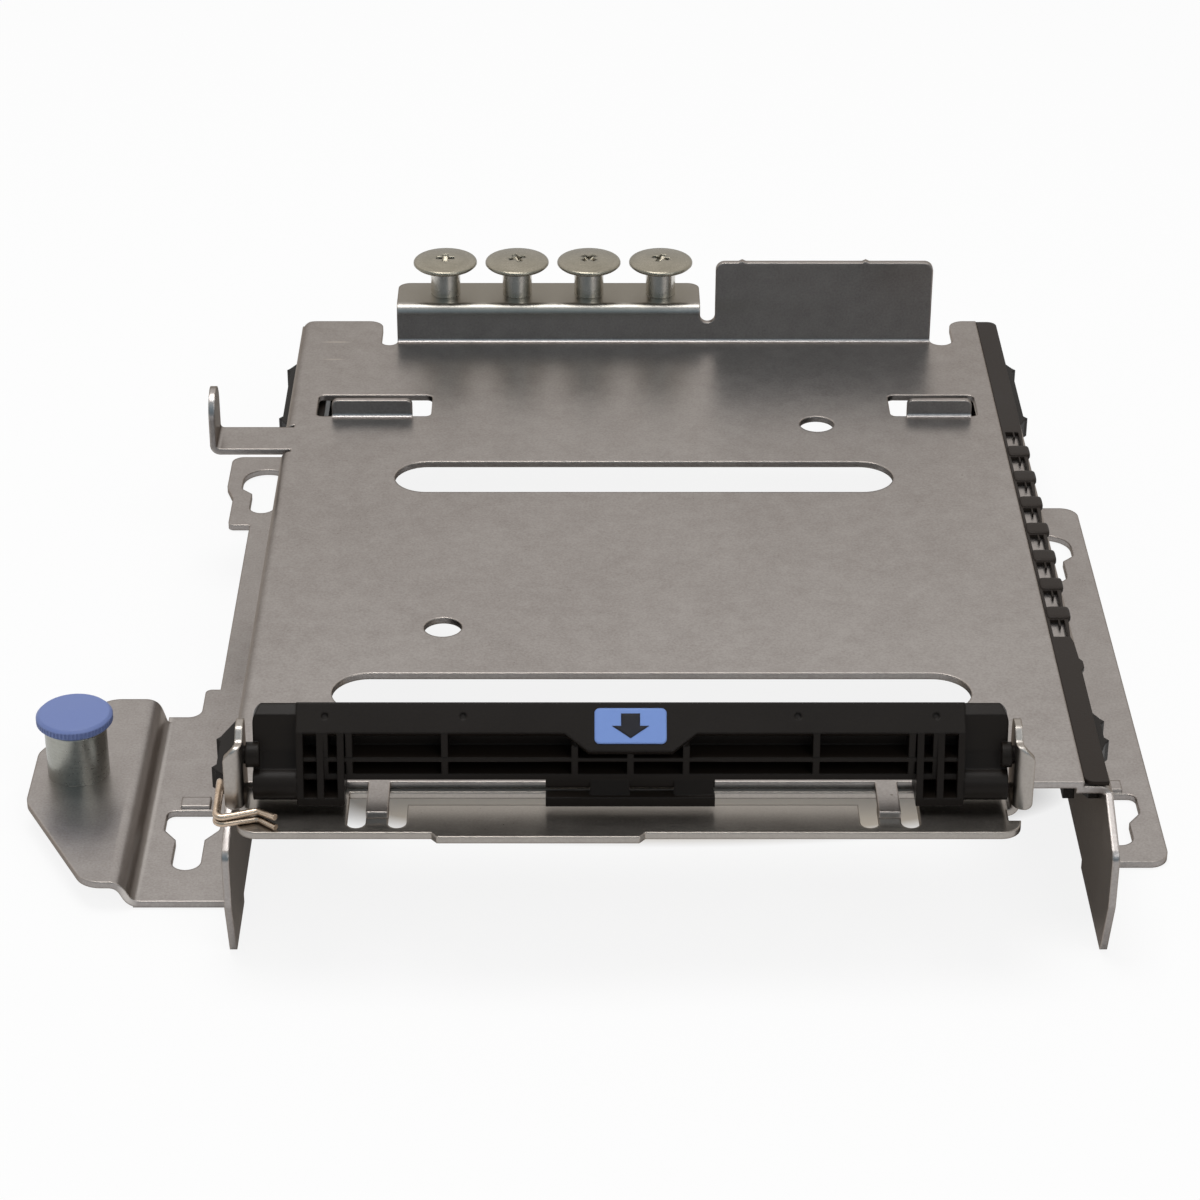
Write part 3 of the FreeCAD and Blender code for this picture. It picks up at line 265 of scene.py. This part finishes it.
def turned_steel(name, pale, dark, rough, rim_mm, shank_top_mm):
    """Lathe finish between two greys, painted paler below shank_top_mm as a painted highlight."""
    material, tree = new_material(name)
    place = add(tree, "ShaderNodeTexCoord").outputs["Object"]
    rings = add(tree, "ShaderNodeMapping", {"Vector": place, "Scale": RING_STRETCH}).outputs["Vector"]
    feed = add(tree, "ShaderNodeTexNoise", {"Vector": rings, "Scale": per_metre(TOOL_FEED),
                                            "Detail": 2.0}).outputs["Fac"]
    grain = add(tree, "ShaderNodeTexNoise", {"Vector": place, "Scale": per_metre(ZINC_GRAIN),
                                             "Detail": 2.0}).outputs["Fac"]
    tone = add(tree, "ShaderNodeMix", {"Factor": 0.5, 2: feed, 3: grain}, data_type="FLOAT").outputs[0]
    ramp = add(tree, "ShaderNodeValToRGB", {"Fac": tone})
    for stop, position, grey in zip(ramp.color_ramp.elements, TURNED_STOPS, (dark, pale)):
        stop.position, stop.color = position, linear(grey)
    # painted highlight: paler colour below shank_top_mm
    height = add(tree, "ShaderNodeSeparateXYZ", {0: place}).outputs["Z"]
    painted_shank_highlight = add(tree, "ShaderNodeMath", {0: height, 1: shank_top_mm * MM},
                 operation="LESS_THAN").outputs[0]
    colour = add(tree, "ShaderNodeMix", {"Factor": painted_shank_highlight, 6: ramp.outputs["Color"],
                                         7: linear(SHANK_HIGHLIGHT_GREY)}, data_type="RGBA").outputs[2]
    # painted shade with some grease: darker where ambient occlusion finds little open sky
    open_sky = add(tree, "ShaderNodeAmbientOcclusion", {"Distance": RECESS_REACH * MM},
                   samples=RECESS_SAMPLES, only_local=True).outputs["AO"]
    grease_and_shade = add(tree, "ShaderNodeMapRange", {"Value": open_sky, "From Min": 0.75, "From Max": 0.35,
                                              "To Min": 0.0, "To Max": GREASE_AND_SHADE_STRENGTH}).outputs[0]
    colour = add(tree, "ShaderNodeMix", {"Factor": grease_and_shade, 6: colour, 7: linear(GREASE_AND_PAINTED_SHADE)},
                 data_type="RGBA").outputs[2]
    roughness = add(tree, "ShaderNodeMapRange", {"Value": tone, "From Min": 0.3, "From Max": 0.7,
                                                 "To Min": rough - TURNED_SWING,
                                                 "To Max": rough + TURNED_SWING}).outputs[0]
    rounded = add(tree, "ShaderNodeBevel", {"Radius": rim_mm * MM}, samples=EDGE_SAMPLES).outputs[0]
    bump = add(tree, "ShaderNodeBump", {"Height": feed, "Strength": 0.05,
                                        "Distance": PLATING_RELIEF * MM, "Normal": rounded}).outputs[0]
    shader = add(tree, "ShaderNodeBsdfPrincipled", {"Base Color": colour, "Metallic": 1.0,
                                                    "Roughness": roughness, "Normal": bump})
    add(tree, "ShaderNodeOutputMaterial", {"Surface": shader.outputs[0]})
    return material


SHANK_TOP = 34.7
NO_SHANK = 0.0
screw_steel = turned_steel("bright_zinc_screw_steel", "#9a9385", "#878173", 0.24, 0.5, SHANK_TOP)
barrel_steel = turned_steel("turned_barrel_steel", "#a8a8a1", "#9b9b94", 0.3, 0.2, NO_SHANK)
wire_steel = turned_steel("drawn_spring_wire", "#cdb8a4", "#b29d88", 0.25, 0.1, NO_SHANK)
print("made", screw_steel.name, barrel_steel.name, wire_steel.name)

# %% [markdown]
# Moulded plastics: the latch, the rails and the edge strip are black ABS with the fine spark-eroded
# texture of their mould, and the pull cap is a smoother coloured moulding. The mould texture is a shallow
# bump at about 0.3 mm and a slight change of gloss, and the Bevel node gives the moulded corners their
# soft highlight. The label is a printed film, so it is smooth and a little glossier.

# %% Moulded plastic and film
FLOW_MARK = 14.0
GLOSS_SWING = 0.07
MOULD_RELIEF = 0.05
ABS_IOR = 1.52


def moulded(name, colour, shade, rough, shine, texture_mm, relief):
    """Moulded finish between two colours, with the mould's texture and the flow marks of the melt."""
    material, tree = new_material(name)
    place = add(tree, "ShaderNodeTexCoord").outputs["Object"]
    skin = add(tree, "ShaderNodeTexNoise", {"Vector": place, "Scale": per_metre(texture_mm),
                                            "Detail": 3.0, "Roughness": 0.65}).outputs["Fac"]
    flow = add(tree, "ShaderNodeTexNoise", {"Vector": place, "Scale": per_metre(FLOW_MARK),
                                            "Detail": 2.0}).outputs["Fac"]
    tone = add(tree, "ShaderNodeMix", {"Factor": 0.5, 2: skin, 3: flow}, data_type="FLOAT").outputs[0]
    base = add(tree, "ShaderNodeMix", {"Factor": tone, 6: linear(shade), 7: linear(colour)},
               data_type="RGBA").outputs[2]
    roughness = add(tree, "ShaderNodeMapRange", {"Value": tone, "From Min": 0.3, "From Max": 0.7,
                                                 "To Min": rough - GLOSS_SWING,
                                                 "To Max": rough + GLOSS_SWING}).outputs[0]
    rounded = add(tree, "ShaderNodeBevel", {"Radius": EDGE_ROUND * MM}, samples=EDGE_SAMPLES).outputs[0]
    bump = add(tree, "ShaderNodeBump", {"Height": skin, "Strength": relief,
                                        "Distance": MOULD_RELIEF * MM, "Normal": rounded}).outputs[0]
    shader = add(tree, "ShaderNodeBsdfPrincipled", {"Base Color": base, "Roughness": roughness,
                                                    "IOR": ABS_IOR, "Specular IOR Level": shine,
                                                    "Normal": bump})
    add(tree, "ShaderNodeOutputMaterial", {"Surface": shader.outputs[0]})
    return material


black_abs = moulded("black_moulded_abs", "#1e1915", "#15110e", 0.42, 0.12, 0.3, 0.25)
guard_abs = moulded("black_textured_strip", "#2a221c", "#1d1713", 0.45, 0.14, 0.35, 0.35)
cap_blue = moulded("blue_moulded_cap", "#7383b6", "#6878aa", 0.42, 0.3, 0.4, 0.08)
film_blue = moulded("blue_label_film", "#7895d2", "#708cc8", 0.32, 0.3, 0.8, 0.03)
ink_dark = moulded("dark_label_ink", "#222026", "#1a191e", 0.4, 0.2, 0.8, 0.03)
print("made", black_abs.name, guard_abs.name, cap_blue.name, film_blue.name, ink_dark.name)

# %% [markdown]
# A carried-over CAD node keeps its mesh. Its material slots are cleared and take the finish of the piece.
# What isn't listed is a screw.

# %% Dress the CAD nodes
finishes = {
    "tray_sheet": sheet_steel, "latch_bracket": bracket_steel,
    "left_guide_rail": black_abs, "right_guide_rail": black_abs, "edge_guard": guard_abs,
    "latch_bar": black_abs, "latch_label": film_blue, "latch_arrow": ink_dark,
    "latch_spring": wire_steel, "plunger_spring": wire_steel,
    "plunger_barrel": barrel_steel, "plunger_bush": barrel_steel, "plunger_pin": barrel_steel,
    "plunger_cap": cap_blue,
}
for name, node in nodes.items():
    node.data.materials.clear()
    node.data.materials.append(finishes.get(name, screw_steel))
print("dressed", len(nodes), "nodes")

# %% [markdown]
# What repeats is grown by Geometry Nodes from one point per copy. One function starts a tree with named
# sizes, and a second ends it: it puts the piece on the points and gives it a material. A third runs the
# tree and keeps the result as a plain mesh that rides on the tray, because the export drops live instances.

# %% Growing what repeats
def new_tree(name, sizes):
    tree = bpy.data.node_groups.new(name, "GeometryNodeTree")
    tree.interface.new_socket("Geometry", in_out="INPUT", socket_type="NodeSocketGeometry")
    values = {}
    for label, value in sizes.items():
        socket = tree.interface.new_socket(label, in_out="INPUT", socket_type="NodeSocketFloat")
        values[socket.identifier] = value
    tree.interface.new_socket("Geometry", in_out="OUTPUT", socket_type="NodeSocketGeometry")
    return tree, values


def end_tree(tree, points, piece, material):
    placed = add(tree, "GeometryNodeInstanceOnPoints", {"Points": points, "Instance": piece}).outputs[0]
    solid = add(tree, "GeometryNodeRealizeInstances", {"Geometry": placed}).outputs[0]
    dressed = add(tree, "GeometryNodeSetMaterial", {"Geometry": solid, "Material": material}).outputs[0]
    add(tree, "NodeGroupOutput", {0: dressed})


def grow(name, tree, values, starts):
    points = bpy.data.meshes.new(name + "_points")
    points.from_pydata(starts, [], [])
    piece = bpy.data.objects.new(name, points)
    bpy.context.scene.collection.objects.link(piece)
    modifier = piece.modifiers.new(name, "NODES")
    modifier.node_group = tree
    for identifier, value in values.items():
        modifier[identifier] = value
    evaluated = piece.evaluated_get(bpy.context.evaluated_depsgraph_get())
    piece.data = bpy.data.meshes.new_from_object(evaluated)
    piece.modifiers.remove(modifier)
    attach(piece, "tray")
    print(name, "copies", len(starts), "faces", len(piece.data.polygons))


# %% [markdown]
# The stored screws have a coarse rolled thread below the shelf, which the CAD model leaves as a plain rod.
# A ridge that winds round a rod follows a rule: a spiral curve with a triangular profile. The points come
# from the boxes of the screws.

# %% Rolled threads
THREAD_PITCH = 0.79
THREAD_RADIUS = 1.62
RIDGE = 0.2
RIDGE_SIDES = 3
THREAD_START = 0.45
THREAD_TURNS = 2.3
SEGMENTS = 28

tree, values = new_tree("rolled_thread", {"Radius": THREAD_RADIUS * MM, "Ridge": RIDGE * MM,
                                          "Turns": THREAD_TURNS,
                                          "Height": THREAD_TURNS * THREAD_PITCH * MM})
given = add(tree, "NodeGroupInput").outputs
spiral = add(tree, "GeometryNodeCurveSpiral", {"Resolution": SEGMENTS, "Rotations": given["Turns"],
                                               "Start Radius": given["Radius"],
                                               "End Radius": given["Radius"],
                                               "Height": given["Height"]}).outputs[0]
upright = add(tree, "GeometryNodeSetCurveNormal", {"Curve": spiral}, mode="Z_UP").outputs[0]
profile = add(tree, "GeometryNodeCurvePrimitiveCircle", {"Resolution": RIDGE_SIDES,
                                                         "Radius": given["Ridge"]}).outputs[0]
ridge = add(tree, "GeometryNodeCurveToMesh", {"Curve": upright, "Profile Curve": profile,
                                              "Fill Caps": True}).outputs[0]
end_tree(tree, given["Geometry"], ridge, screw_steel)

starts = []
for name in sorted(nodes):
    if name.startswith("shoulder_screw"):
        low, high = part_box(name)
        starts.append(((low[0] + high[0]) / 2, (low[1] + high[1]) / 2, low[2] + THREAD_START * MM))
grow("screw_threads", tree, values, starts)

# %% [markdown]
# The bars between the windows of the edge strip are moulded as soft pads that stand a little above the
# deck and bulge over its edge, so the strip's outline is scalloped. A block whose edges are partly
# creased, then subdivided, is such a pad. The bars follow each other at an even pitch.

# %% Pads on the edge strip
PAD_SIZE = (3.5, 3.5, 1.0)
PAD_CREASE = 0.4
PAD_LEVEL = 3
PAD_FIRST = (67.65, -22.45, 22.6)
PAD_PITCH = 8.55
PADS = 7

tree, values = new_tree("edge_pad", {"Width": PAD_SIZE[0] * MM, "Length": PAD_SIZE[1] * MM,
                                     "Height": PAD_SIZE[2] * MM, "Crease": PAD_CREASE})
given = add(tree, "NodeGroupInput").outputs
size = add(tree, "ShaderNodeCombineXYZ", {"X": given["Width"], "Y": given["Length"],
                                          "Z": given["Height"]}).outputs[0]
block = add(tree, "GeometryNodeMeshCube", {"Size": size}).outputs[0]
pad = add(tree, "GeometryNodeSubdivisionSurface", {"Mesh": block, "Level": PAD_LEVEL,
                                                   "Edge Crease": given["Crease"]}).outputs[0]
soft = add(tree, "GeometryNodeSetShadeSmooth", {"Geometry": pad}).outputs[0]
end_tree(tree, given["Geometry"], soft, guard_abs)

starts = [(PAD_FIRST[0] * MM, (PAD_FIRST[1] + PAD_PITCH * index) * MM, PAD_FIRST[2] * MM)
          for index in range(PADS)]
grow("edge_pads", tree, values, starts)

# %% [markdown]
# The studio: a pale paper floor and a white surround. The floor lies a hair below the flanges.

# %% Floor
FLOOR_HALF = 4.0
FLOOR_GAP = 0.2
FLOOR_CORNERS = ((-1, -1), (1, -1), (1, 1), (-1, 1))

floor_mesh = bpy.data.meshes.new("studio_floor")
floor_mesh.from_pydata([(FLOOR_HALF * x, FLOOR_HALF * y, 0) for x, y in FLOOR_CORNERS], [], [(0, 1, 2, 3)])
floor = bpy.data.objects.new("studio_floor", floor_mesh)
bpy.context.scene.collection.objects.link(floor)
floor.location.z = cad_low[2] - FLOOR_GAP * MM
print("floor at", round(floor.location.z, 5))

# %% [markdown]
# The paper shows itself almost white to the camera and to mirror-like metal, and stays ordinary matt paper
# for soft light, so it keeps a faint shadow. Under the tray little light gets in: there the paper stays
# its own shaded self for the metal's mirror, and a strip under the front bracket does so for the camera
# too. In that strip the paper's colour is also painted a warmer grey: painted shade, in the tone of light
# that has been between the steel.

# %% Paper
FLOOR_WHITE = 0.87
SHADE_WHITE = 0.12
SHADE_FADE = (0.85, 1.1)
TRAY_SHADE = ((0.0, 20.0, 0.0), (150.0, 190.0, 1.0))
BRACKET_SHADE = ((10.0, -35.0, 0.0), (54.0, 13.0, 1.0))
PAPER_WHITE = "#f2f2f2"
WARM_SHADE = "#d2c4ae"


def ray_kinds(tree):
    """Rays that come straight from the camera, and rays that come off a mirror or through glass."""
    rays = add(tree, "ShaderNodeLightPath").outputs
    mirrored = add(tree, "ShaderNodeMath", {0: rays["Is Glossy Ray"], 1: rays["Is Transmission Ray"]},
                   operation="MAXIMUM").outputs[0]
    return rays["Is Camera Ray"], mirrored


paper, tree = new_material("white_studio_paper")
place = add(tree, "ShaderNodeTexCoord").outputs["Object"]
direct, mirrored = ray_kinds(tree)
from_tray = ellipse(tree, place, *TRAY_SHADE)
from_bracket = ellipse(tree, place, *BRACKET_SHADE)
shares = []
for seen, away in ((mirrored, from_tray), (direct, from_bracket)):
    lit = add(tree, "ShaderNodeMapRange", {"Value": away, "From Min": SHADE_FADE[0],
                                           "From Max": SHADE_FADE[1], "To Min": SHADE_WHITE,
                                           "To Max": FLOOR_WHITE}).outputs[0]
    shares.append(add(tree, "ShaderNodeMath", {0: seen, 1: lit}, operation="MULTIPLY").outputs[0])
under = add(tree, "ShaderNodeMapRange", {"Value": from_bracket, "From Min": SHADE_FADE[0],
                                         "From Max": SHADE_FADE[1], "To Min": 1.0,
                                         "To Max": 0.0}).outputs[0]
# painted shade: the paper turns warm grey in the strip under the front bracket
paper_with_painted_shade = add(tree, "ShaderNodeMix", {"Factor": under, 6: linear(PAPER_WHITE),
                                           7: linear(WARM_SHADE)}, data_type="RGBA").outputs[2]
share = add(tree, "ShaderNodeMath", {0: shares[0], 1: shares[1]}, operation="MAXIMUM").outputs[0]
matt = add(tree, "ShaderNodeBsdfDiffuse", {"Color": paper_with_painted_shade}).outputs[0]
white = add(tree, "ShaderNodeEmission", {"Color": linear("#ffffff"), "Strength": 1.0}).outputs[0]
both = add(tree, "ShaderNodeMixShader", {0: share, 1: matt, 2: white}).outputs[0]
add(tree, "ShaderNodeOutputMaterial", {"Surface": both})
floor_mesh.materials.append(paper)
floor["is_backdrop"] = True
print("made", paper.name)

# %% [markdown]
# The surround is white to the camera. Metal mirrors it: white behind and above, and a little darker and
# bluer in front, where the photographer's side of a studio is. That is what makes the upright faces
# darker than the deck.

# %% Surround
ROOM_LIGHT = 0.42
HORIZON = 0.55
FULL_HEIGHT = 0.55
FRONT_TO_REAR = (-0.8, 0.4)
FRONT_TINT = "#a2b7c5"
REAR_TINT = "#fffefc"

world = bpy.data.worlds.new("studio_surround")
bpy.context.scene.world = world
world.use_nodes = True
tree = world.node_tree
tree.nodes.clear()
direct, mirrored = ray_kinds(tree)
heading = add(tree, "ShaderNodeTexCoord").outputs["Generated"]
axes = add(tree, "ShaderNodeSeparateXYZ", {0: heading}).outputs
behind = add(tree, "ShaderNodeMapRange", {"Value": axes["Y"], "From Min": FRONT_TO_REAR[0],
                                          "From Max": FRONT_TO_REAR[1]}).outputs[0]
tint = add(tree, "ShaderNodeMix", {"Factor": behind, 6: linear(FRONT_TINT), 7: linear(REAR_TINT)},
           data_type="RGBA").outputs[2]
plain = add(tree, "ShaderNodeMix", {"Factor": mirrored, 6: linear("#ffffff"), 7: tint},
            data_type="RGBA").outputs[2]
seen = add(tree, "ShaderNodeMath", {0: direct, 1: mirrored}, operation="MAXIMUM").outputs[0]
high = add(tree, "ShaderNodeMapRange", {"Value": axes["Z"], "From Max": FULL_HEIGHT,
                                        "To Min": HORIZON}).outputs[0]
mirror = add(tree, "ShaderNodeMix", {"Factor": mirrored, 2: 1.0, 3: high}, data_type="FLOAT").outputs[0]
level = add(tree, "ShaderNodeMix", {"Factor": seen, 2: ROOM_LIGHT, 3: mirror},
            data_type="FLOAT").outputs[0]
sky = add(tree, "ShaderNodeBackground", {"Color": plain, "Strength": level}).outputs[0]
add(tree, "ShaderNodeOutputWorld", {"Surface": sky})
print("surround", world.name)

# %% [markdown]
# Two large area lamps give the soft overhead light of a product photo. The bends of the sheet pick them up
# as thin bright lines. The flat deck does so only when it is seen from above. Each lamp has a place and a
# width in metres and a power in watts.

# %% Lamps
LAMPS = {"overhead_softbox": ((-0.1, 0.05, 0.9), 0.5, 4.2),
         "front_softbox": ((0.5, -0.7, 0.8), 0.6, 2.2)}

middle = Vector([(a + b) / 2 for a, b in zip(cad_low, cad_high)])
for name, (place, width, power) in LAMPS.items():
    lamp_data = bpy.data.lights.new(name, "AREA")
    lamp_data.shape = "DISK"
    lamp_data.size = width
    lamp_data.energy = power
    lamp = bpy.data.objects.new(name, lamp_data)
    lamp.location = place
    lamp.rotation_euler = (middle - Vector(place)).to_track_quat("-Z", "Y").to_euler()
    bpy.context.scene.collection.objects.link(lamp)
print("lamps aimed at", [round(v, 3) for v in middle])

# %% [markdown]
# The camera stands where the photographer stood: in front, looking down by about thirty degrees through a
# long lens. The values come from fitting the deck's straight edges and screw spacing to the picture.

# %% Camera
CAMERA_PLACE = (-1.95 * MM, -451.1 * MM, 270.5 * MM)
CAMERA_PITCH = 29.8
LENS = 102.0
SENSOR = 36.0
SIDE_SHIFT = 1 / 60
NEAR_CLIP = 0.01

camera_data = bpy.data.cameras.new("photo_camera")
camera_data.sensor_width = SENSOR
camera_data.lens = LENS
camera_data.shift_x = SIDE_SHIFT
camera_data.clip_start = NEAR_CLIP
camera = bpy.data.objects.new("photo_camera", camera_data)
camera.location = CAMERA_PLACE
camera.rotation_euler = (math.radians(90 - CAMERA_PITCH), 0, 0)
bpy.context.scene.collection.objects.link(camera)
bpy.context.scene.camera = camera
bpy.context.scene.view_settings.view_transform = "Standard"
print("camera", [round(v, 4) for v in camera.location])

# %% [markdown]
# The dressed model keeps the CAD model's size. Both boxes are printed, so that they can be compared.

# %% Size
low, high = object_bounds()
print("visual box", [round(v, 4) for v in low], [round(v, 4) for v in high])
